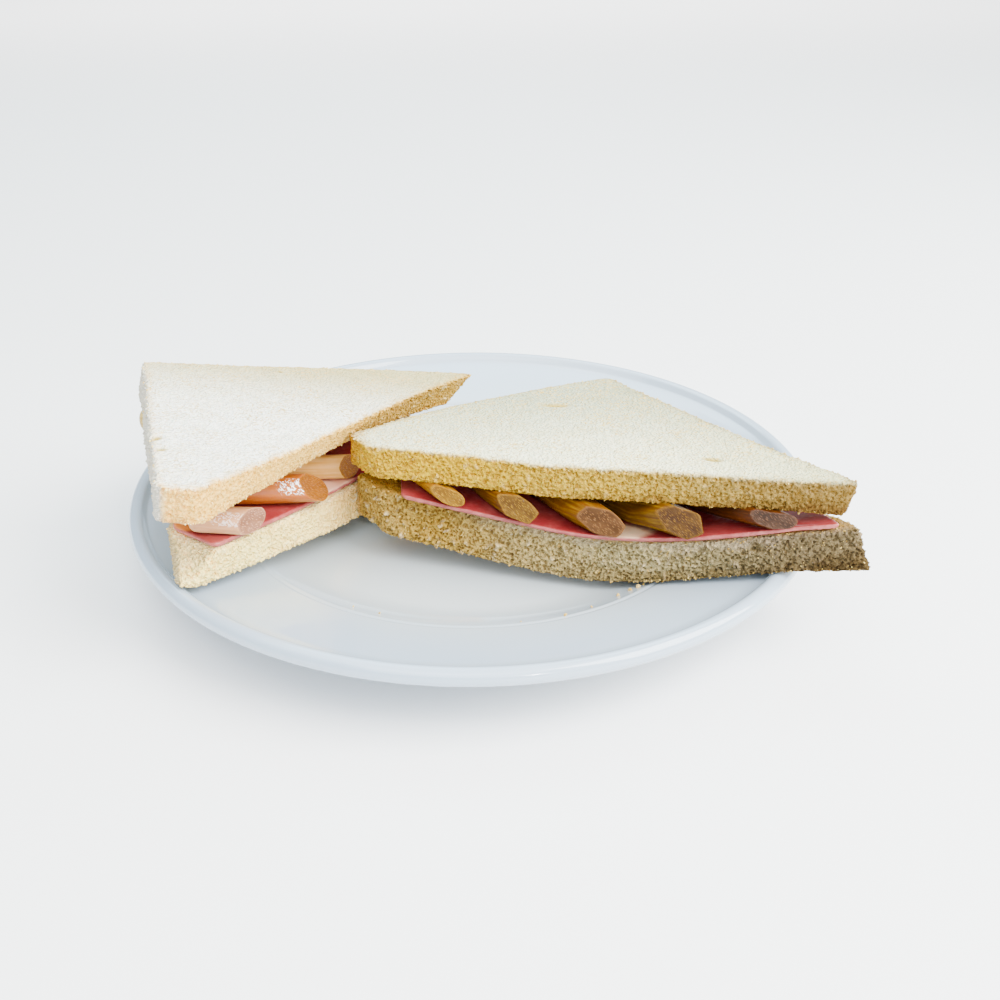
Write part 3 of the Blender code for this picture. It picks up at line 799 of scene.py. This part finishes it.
bits = join_all(parts, "torn_bits", torn)
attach(bits, "root")

# %% [markdown]
# ## Ham
#
# Each slice of ham is a thin moist sheet. Its solid already waves a little between the spears. It is
# rebuilt as a fine even mesh too, which rounds its sharp edges. The wide faces are deep pink with paler
# clouds of fat, and the knife's edge shows a lighter band, so the finish reads the same mask of flat and
# cut as the bread.

# %% Ham finish
# Places, sizes and colours of the fatty patch, the pale patch and the smoked rind
HAM_PATCHES = (
    ((0.040, -0.045, 0.022), (0.008, 0.006, 0.02), (0.56, 0.36, 0.22)),
    ((-0.037, -0.020, 0.024), (0.010, 0.006, 0.02), (0.80, 0.44, 0.30)),
    ((-0.074, -0.052, 0.030), (0.006, 0.004, 0.01), (0.72, 0.24, 0.04)))


def ham_finish():
    made, tree, shader = shade("cooked ham", {
        "Roughness": 0.4, "Specular IOR Level": 0.3, "Coat Weight": 0.12, "Coat Roughness": 0.08,
        **soft(0.15, (1.0, 0.35, 0.25), 0.0015)})
    spot = object_place(tree)
    cloud = noise_at(tree, spot, 70.0, 4.0, 0.6)
    fibre = noise_at(tree, spot, 420.0, 3.0)
    pink = blend(tree, ease(tree, cloud, 0.40, 0.72), (0.18, 0.013, 0.015), (0.24, 0.038, 0.034))
    pink = blend(tree, ease(tree, fibre, 0.52, 0.8, 0.0, 0.3), pink, (0.36, 0.10, 0.08))
    for place, size, tint in HAM_PATCHES:
        shift = vector_math(tree, "DIVIDE", vector_math(tree, "SUBTRACT", spot, place), size)
        reach = wire(tree, "ShaderNodeVectorMath", {0: shift}, operation="LENGTH").outputs[1]
        reach = calc(tree, "ADD", reach, sway(tree, cloud, 1.6))
        pink = blend(tree, ease(tree, reach, 0.5, 1.1, 1.0, 0.0), pink, tint)
    rim = blend(tree, ease(tree, fibre, 0.35, 0.75), (0.27, 0.052, 0.05), (0.40, 0.11, 0.095))
    tree.links.new(blend(tree, stored(tree, "cut"), pink, rim), shader.inputs["Base Color"])
    height = calc(tree, "ADD", fibre, times(tree, cloud, 2.0))
    relief(tree, height, 0.35, 0.0005, shader.inputs["Normal"])
    return made


# %% Make the two slices of ham
HAM_CELL = 0.0004
ham = ham_finish()
for node in ("right_ham", "left_ham"):
    piece = even_mesh(node, node + "_slice", HAM_CELL)
    keep_value(piece.data, "cut", cut_mask(piece.data))
    piece.data.materials.clear()
    piece.data.materials.append(ham)
    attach(piece, "root")
    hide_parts(node)

# %% [markdown]
# ## Asparagus
#
# A stewed spear is a limp rod of long fibres under a smooth wet skin. The knife crossed all of them at a
# slant, so the fibres show as lines on the body and as rows of short strokes on the cut face. Each spear is
# measured on its solid with rays, station by station, and rebuilt as a smooth tube. It keeps its own
# coordinates, across, up and along, on the mesh. A pattern that is stretched in those follows the fibres
# through body and cut alike.

# %% Measure a solid spear with rays
SIDES = 56
# Millimetres from the cut end to the first station, between stations, and kept for the rounded end
FIRST, STEP, ROUNDED = 0.12, 0.5, 1.6
# How widely radii are smoothed round the spear, in sides, and along it, in stations
BLUR_ROUND, BLUR_ALONG = 2.2, 2.0
# Heights in metres that lie above and below everything, for rays
ABOVE, BELOW = 0.3, -0.1
# Smoothing shrinks a radius a little, and this gives it back
REGAIN = 1.012


def near_cut(t, width):
    """One at the cut end, and nought from about a spear and a half further in."""
    return max(0.0, 1 - t / (0.6 * width + 8.0))


def unit(x, y):
    size = math.hypot(x, y)
    return np.array([x / size, y / size, 0.0])


def smoothed(values, width, axis, wrap):
    reach = int(3 * width) + 1
    weights = np.exp(-0.5 * (np.arange(-reach, reach + 1) / width) ** 2)
    weights = weights / weights.sum()
    pad = [(0, 0), (0, 0)]
    pad[axis] = (reach, reach)
    padded = np.pad(values, pad, mode="wrap" if wrap else "edge")
    return np.apply_along_axis(lambda line: np.convolve(line, weights, "valid"), axis, padded)


def measure_spear(node, start, heading, length, width, across):
    """Distance and centre of each station along the spear, and its radii with their directions."""
    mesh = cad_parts[node].data
    tree = BVHTree.FromPolygons([v.co for v in mesh.vertices], [tuple(f.vertices) for f in mesh.polygons])
    side = np.array([-heading[1], heading[0], 0.0])
    stations = np.concatenate([[FIRST], np.arange(STEP, length - ROUNDED, STEP)])
    centres, radii, rays = [], [], []
    for t in stations:
        flat = start + heading * t * MM
        top = tree.ray_cast(Vector((flat[0], flat[1], ABOVE)), Vector((0, 0, -1)))[0]
        low = tree.ray_cast(Vector((flat[0], flat[1], BELOW)), Vector((0, 0, 1)))[0]
        centre = Vector((flat[0], flat[1], (top.z + low.z) / 2))
        lean = -side.dot(across) / heading.dot(across) * near_cut(t, width)
        fan, reach = [], []
        for i in range(SIDES):
            turn = 2 * math.pi * i / SIDES
            ray = side * math.cos(turn) + heading * (lean * math.cos(turn)) + np.array([0, 0, math.sin(turn)])
            hit = tree.ray_cast(centre, Vector(ray))
            reach.append(hit[3] / np.linalg.norm(ray) if hit[0] else width / 2 * MM)
            fan.append(ray)
        centres.append(np.array(centre))
        radii.append(reach)
        rays.append(fan)
    radii = smoothed(smoothed(np.array(radii), BLUR_ROUND, 1, True), BLUR_ALONG, 0, False) * REGAIN
    return stations, smoothed(np.array(centres), BLUR_ALONG, 0, False), radii, np.array(rays)


# %% Build a smooth spear from its stations
# Where rings lie: shares of the radius on the cut face, and of the length of the rounded end
CAP_RINGS = (0.12, 0.3, 0.5, 0.68, 0.82, 0.92)
END_RINGS = (0.25, 0.5, 0.7, 0.85, 0.95)
# The face's last ring: millimetres behind its middle, and share of the radius
EDGE_DEPTH, EDGE_SHARE = 0.04, 0.972
# Half way between the corners of a six-sided outline, at one, and the middles of its sides
MID_FACET = 0.93


def outline(facets, count, spin, seed):
    """How far the outline stands out at each side, as a share of the radius: low ridges and a few facets."""
    rng = np.random.default_rng(seed)
    turns = 2 * np.pi * np.arange(SIDES) / SIDES
    ridges = sum(a * np.sin(k * turns + p) for k, a, p in zip(
        (3, 5, 11), (0.015, 0.012, 0.006), rng.uniform(0, 6.28, 3)))
    wedge = (turns - spin) % (2 * math.pi / count) - math.pi / count
    return ridges + facets * (math.cos(math.pi / count) / np.cos(wedge) - MID_FACET)


def tube_faces(rings):
    """Faces of a closed tube whose two end points come after its rings."""
    first = rings * SIDES
    faces = []
    for j in range(SIDES):
        k = (j + 1) % SIDES
        faces.append((first, k, j))
        faces.append((first + 1, first - SIDES + j, first - SIDES + k))
        faces += [(a + j, a + k, a + SIDES + k, a + SIDES + j) for a in range(0, first - SIDES, SIDES)]
    return faces


def build_spear(name, node, start, heading, length, width, across, finish, shape, seed):
    """Shape holds millimetres that the cut end comes forward and up, how much larger it is, and shares of the
    radius: how far the face leans back on its side and at its top, how far that side is lifted, and how much
    the outline is faceted, with the number of facets and their turn."""
    push, raised, larger, lean_side, lean_top, lift, *facets = shape
    stations, centres, radii, rays = measure_spear(node, start, heading, length, width, across)
    ridges = outline(*facets, seed)
    points, grain, cap, rim = [], [], [], []

    def add(place, own, on_cap, share):
        for values, value in zip((points, grain, cap, rim), (place, own, on_cap, share)):
            values.append(value)

    def ring(centre, ray, radius, t, share, on_cap):
        fade = near_cut(t, width)
        for i in range(SIDES):
            side, top = math.cos(2 * np.pi * i / SIDES), math.sin(2 * np.pi * i / SIDES)
            r = radius[i] * share * (1 + ridges[i]) * (1 + (larger - 1) * fade)
            lean = lean_side * side + lean_top * top
            lifted = np.array([0, 0, (r * lift * side + raised * MM) * fade])
            place = centre + ray[i] * r + heading * ((r * lean - push * MM) * fade) + lifted
            add(place, (r / MM * side, r / MM * top, t), on_cap, share)

    near = centres[0] - heading * stations[0] * MM
    for share in CAP_RINGS:
        ring(near + heading * FIRST * MM * (1 - share ** 4), rays[0], radii[0], 0.0, share, 1.0)
    ring(near + heading * EDGE_DEPTH * MM, rays[0], radii[0], 0.0, EDGE_SHARE, 1.0)
    for i, t in enumerate(stations):
        ring(centres[i], rays[i], radii[i], t, 1.0, 0.0)
    end, reach = centres[-1], length - stations[-1]
    for s in END_RINGS:
        ring(end + heading * reach * s * MM, rays[-1], radii[-1], stations[-1] + reach * s,
             math.sqrt(1 - s * s), 0.0)
    rings = len(points) // SIDES
    add(near + heading * (FIRST - push) * MM + np.array([0, 0, raised * MM]), (0, 0, 0), 1.0, 0.0)
    add(end + heading * reach * MM, (0, 0, length), 0.0, 1.0)
    mesh = bpy.data.meshes.new(name)
    mesh.from_pydata([tuple(p) for p in points], [], tube_faces(rings))
    work = bmesh.new()
    work.from_mesh(mesh)
    bmesh.ops.recalc_face_normals(work, faces=work.faces)
    work.to_mesh(mesh)
    work.free()
    smooth_faces(mesh)
    keep_value(mesh, "cap", np.array(cap))
    keep_value(mesh, "rim", np.array(rim))
    mesh.attributes.new("grain", "FLOAT_VECTOR", "POINT").data.foreach_set(
        "vector", np.array(grain, dtype=np.float32).ravel())
    mesh.materials.append(finish)
    print(f"{name}: {len(mesh.vertices)} points")
    return link(name, mesh)


# %% [markdown]
# The fibres are noise that is stretched along the spear, and the strokes on the cut face are small cells that
# are stretched across it. Two spears of the left half also carry painted highlights near their ends: white
# spots that stand in for the glints of their wet skin.

# %% Finish of a spear
def painted_glints_at(tree, grain, glint_strength):
    """Painted highlights: white spots for the glints of the wet skin, high on the camera's side of a spear,
    near its cut end. The last argument is their strength.
    """
    side, top, along = split(tree, grain)
    glint_spots = ease(tree, noise_at(tree, grain, 1.0, 0.5, 1.6), 0.53, 0.60)
    zone = times(tree, ease(tree, side, 0.8, 1.6), ease(tree, top, 0.1, 1.0), ease(tree, along, 9.0, 6.0))
    return times(tree, glint_spots, times(tree, zone, glint_strength))


def spear_finish(name, body, dark, face, stroke, gloss=0.45, wet=0.05, glint_strength=0.0):
    """Body and dark are the skin's tones, and face and stroke those of the cut."""
    made, tree, shader = shade(name, {
        "Roughness": gloss, "Specular IOR Level": 0.15, "Coat Weight": wet, "Coat Roughness": 0.05,
        **soft(0.15, (1.0, 0.5, 0.15), 0.0015)})
    grain, cap, rim = stored(tree, "grain", "Vector"), stored(tree, "cap"), stored(tree, "rim")
    turned = wire(tree, "ShaderNodeMapping", {"Vector": grain, "Rotation": (0, 0, 0.7)}).outputs[0]
    dashes = wire(tree, "ShaderNodeMapping", {"Vector": turned, "Scale": (3.6, 1.1, 0.2)}).outputs[0]
    dash = wire(tree, "ShaderNodeTexVoronoi", {"Vector": dashes, "Scale": 1.0}).outputs["Distance"]
    threads = wire(tree, "ShaderNodeMapping", {"Vector": grain, "Scale": (1.1, 1.1, 0.04)}).outputs[0]
    thread = noise_at(tree, threads, 1.0, 3.0)
    cloud = noise_at(tree, grain, 0.3)
    skin = blend(tree, ease(tree, thread, 0.35, 0.68), dark, body)
    skin = blend(tree, ease(tree, cloud, 0.4, 0.75, 0.0, 0.5), skin, dark)
    # Painted highlights: white spots for the glints of the wet skin.
    if glint_strength:
        skin = blend(tree, painted_glints_at(tree, grain, glint_strength), skin, (1.0, 0.98, 0.94))
    bright, dull = tuple(c * 1.3 for c in stroke), tuple(c * 0.75 for c in face)
    cut = blend(tree, ease(tree, dash, 0.14, 0.42), bright, dull)
    cut = blend(tree, ease(tree, cloud, 0.35, 0.65, 0.0, 0.3), cut, stroke)
    cut = blend(tree, ease(tree, rim, 0.84, 0.97, 0.0, 0.6), cut, stroke)
    tree.links.new(blend(tree, cap, skin, cut), shader.inputs["Base Color"])
    on_cap = times(tree, dash, ease(tree, cap, 0.0, 1.0, 0.1, 1.0))
    height = calc(tree, "SUBTRACT", times(tree, thread, 0.6), on_cap)
    relief(tree, height, 0.35, 0.0004, shader.inputs["Normal"])
    relief(tree, noise_at(tree, grain, 1.3, 1.0), 1.0, 0.0009, shader.inputs["Coat Normal"])
    return made


# %% Colours of the spears
# The five tones of the right half's spears are far darker than the vegetable: painted shade of the deep gap
# under the top slice. The ivory spear's cut face is painted dark amber too, a painted shade under the right
# half's tip.
SPEAR_COLOURS = {
    "lemon": ((0.30, 0.145, 0.0), (0.15, 0.05, 0.0), (0.17, 0.07, 0.0), (0.29, 0.145, 0.0)),
    "golden": ((0.17, 0.076, 0.0), (0.075, 0.021, 0.0), (0.09, 0.036, 0.0), (0.20, 0.098, 0.002)),
    "tan": ((0.24, 0.115, 0.0), (0.11, 0.034, 0.0), (0.078, 0.027, 0.003), (0.19, 0.078, 0.022)),
    "olive gold": ((0.21, 0.105, 0.0), (0.078, 0.025, 0.0), (0.042, 0.013, 0.0), (0.115, 0.049, 0.0)),
    "beige": ((0.08, 0.019, 0.0003), (0.036, 0.008, 0.0), (0.026, 0.009, 0.002), (0.072, 0.030, 0.014)),
    "milky": ((0.52, 0.27, 0.125), (0.42, 0.19, 0.08), (0.25, 0.10, 0.05), (0.37, 0.18, 0.10),
              0.3, 0.35, 0.35),
    "amber": ((0.42, 0.12, 0.008), (0.30, 0.065, 0.001), (0.18, 0.050, 0.0), (0.25, 0.082, 0.0),
              0.3, 0.30, 1.0),
    "ivory": ((0.72, 0.39, 0.11), (0.58, 0.27, 0.05), (0.30, 0.095, 0.0), (0.33, 0.115, 0.0), 0.3, 0.15),
    "sage": ((0.60, 0.46, 0.16), (0.40, 0.26, 0.06), (0.70, 0.56, 0.26), (0.80, 0.66, 0.40)),
}
SKINS = {tone: spear_finish(tone + " spear", *values) for tone, values in SPEAR_COLOURS.items()}

# %% [markdown]
# The places and lengths below are the same as in the solids: for the right half, how far along the cut and
# how far inside it a spear starts, and for the left half, where it starts seen from above.

# %% Places and shapes of the spears
RIGHT_TIP = np.array([-43.0, -27.0, 0.0])
right_cut = unit(137.0, -36.0)
right_in = np.array([-right_cut[1], right_cut[0], 0.0])
left_cut = unit(77.0, 114.2)
left_in = np.array([-left_cut[1], left_cut[0], 0.0])
# Along the cut and inside it, width, heading in degrees, length and tone
RIGHT_SPEARS = (
    (37.9, -0.8, 7.0, 121.5, 22.0, "lemon"), (56.6, -0.9, 7.6, 120.5, 36.0, "golden"),
    (78.6, -0.6, 9.4, 122.0, 50.0, "tan"), (98.4, -1.0, 9.0, 121.0, 64.0, "olive gold"),
    (121.3, -1.4, 8.6, 119.5, 80.0, "beige"))
# X and Y, width, heading in degrees, length and tone
LEFT_SPEARS = (
    (-57.2, -51.6, 7.8, 195.5, 15.0, "milky"), (-43.9, -31.0, 8.6, 196.0, 32.0, "amber"),
    (-34.7, -13.2, 7.2, 195.0, 43.0, "ivory"), (-21.1, 23.3, 8.0, 195.3, 80.0, "sage"))
# How each cut end is shaped, in the order that build_spear gives
SHAPES = {
    "right_spear_1": (0.8, 0.3, 1.00, -0.10, 0.30, 0.36, 0.2, 6, 0.2),
    "right_spear_2": (1.2, 0.5, 1.05, -0.05, 0.35, 0.30, 0.7, 5, 0.5),
    "right_spear_3": (1.2, -0.3, 0.88, 0.12, 0.05, 0.25, 0.7, 6, 0.9),
    "right_spear_4": (1.6, 0.7, 0.98, -0.10, 0.30, 0.25, 1.0, 6, 0.3),
    "right_spear_5": (0.8, 0.6, 1.12, 0.0, 0.35, 0.12, 0.5, 6, 0.6),
    "left_spear_1": (1.6, -0.9, 0.95, -0.10, 0.15, 0.0, 0.35, 6, 0.5),
    "left_spear_2": (1.6, 0.2, 1.00, -0.60, 0.85, 0.0, 0.20, 6, 1.0),
    "left_spear_3": (0.2, 0.1, 1.00, -0.20, 0.30, 0.0, 0.4, 6, 0.4),
    "left_spear_4": (0.0, 0.0, 1.00, -0.30, 0.10, 0.0, 0.4, 6, 0.0)}

# %% Make the spears
jobs = []
for i, (along, inside, *rest) in enumerate(RIGHT_SPEARS):
    jobs.append((f"right_spear_{i + 1}", RIGHT_TIP + right_cut * along + right_in * inside, right_in, *rest))
for i, (x, y, *rest) in enumerate(LEFT_SPEARS):
    jobs.append((f"left_spear_{i + 1}", np.array([x, y, 0.0]), left_in, *rest))
for seed, (node, start, across, width, turn, length, tone) in enumerate(jobs):
    heading = unit(math.cos(math.radians(turn)), math.sin(math.radians(turn)))
    piece = build_spear(node + "_flesh", node, start * MM, heading, length, width, across, SKINS[tone],
                        SHAPES[node], seed)
    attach(piece, "root")
    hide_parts(node)

# %% [markdown]
# ## Loose crumbs
#
# A few crumbs lie on the plate in front of the sandwich. They are one mesh of single points, and a small
# Geometry Nodes tree puts a rough ball on each point, so a crumb is moved or added by changing one entry.

# %% Crumbs on the plate
# X, Y and radius in millimetres. A crumb's middle lies half its radius above the plate
LOOSE = (
    (-24.0, -61.0, 0.30), (23.3, -64.7, 0.40), (38.1, -53.8, 0.45), (43.8, -50.6, 0.60), (41.5, -51.5, 0.40),
    (45.2, -49.4, 0.30), (-31.0, -58.0, 0.20), (12.0, -66.0, 0.20), (30.5, -60.0, 0.25))
# The first points of the plate's section, from its middle up to the lip, where the radius still grows
UPPER_POINTS = 36


def loose_tree():
    tree, given, out = group("loose crumbs", (("Roughness", "Float", 0.0004), ("Finish", "Material", None)))
    ball = wire(tree, "GeometryNodeMeshIcoSphere", {"Radius": 1.0, "Subdivisions": 4})
    placed = wire(tree, "GeometryNodeInstanceOnPoints", {
        "Points": given["Geometry"], "Instance": ball.outputs[0], "Scale": read_value(tree, "size")})
    rough = jagged(tree, placed.outputs[0], 1500.0, 3.0, times(tree, given["Roughness"], 3.0))
    return end_tree(tree, rough, given, out)


radii, heights = np.array(section[:UPPER_POINTS]).T
mesh = bpy.data.meshes.new("loose")
mesh.from_pydata([(x * MM, y * MM, (np.interp(math.hypot(x, y), radii, heights) + 0.5 * size) * MM)
                  for x, y, size in LOOSE], [], [])
keep_value(mesh, "size", np.array([size * MM for _, _, size in LOOSE]))
loose = link("loose", mesh)
grow(loose, loose_tree(), {"Roughness": 0.00035, "Finish": torn})
loose = settle(loose, "loose_crumbs")
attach(loose, "root")
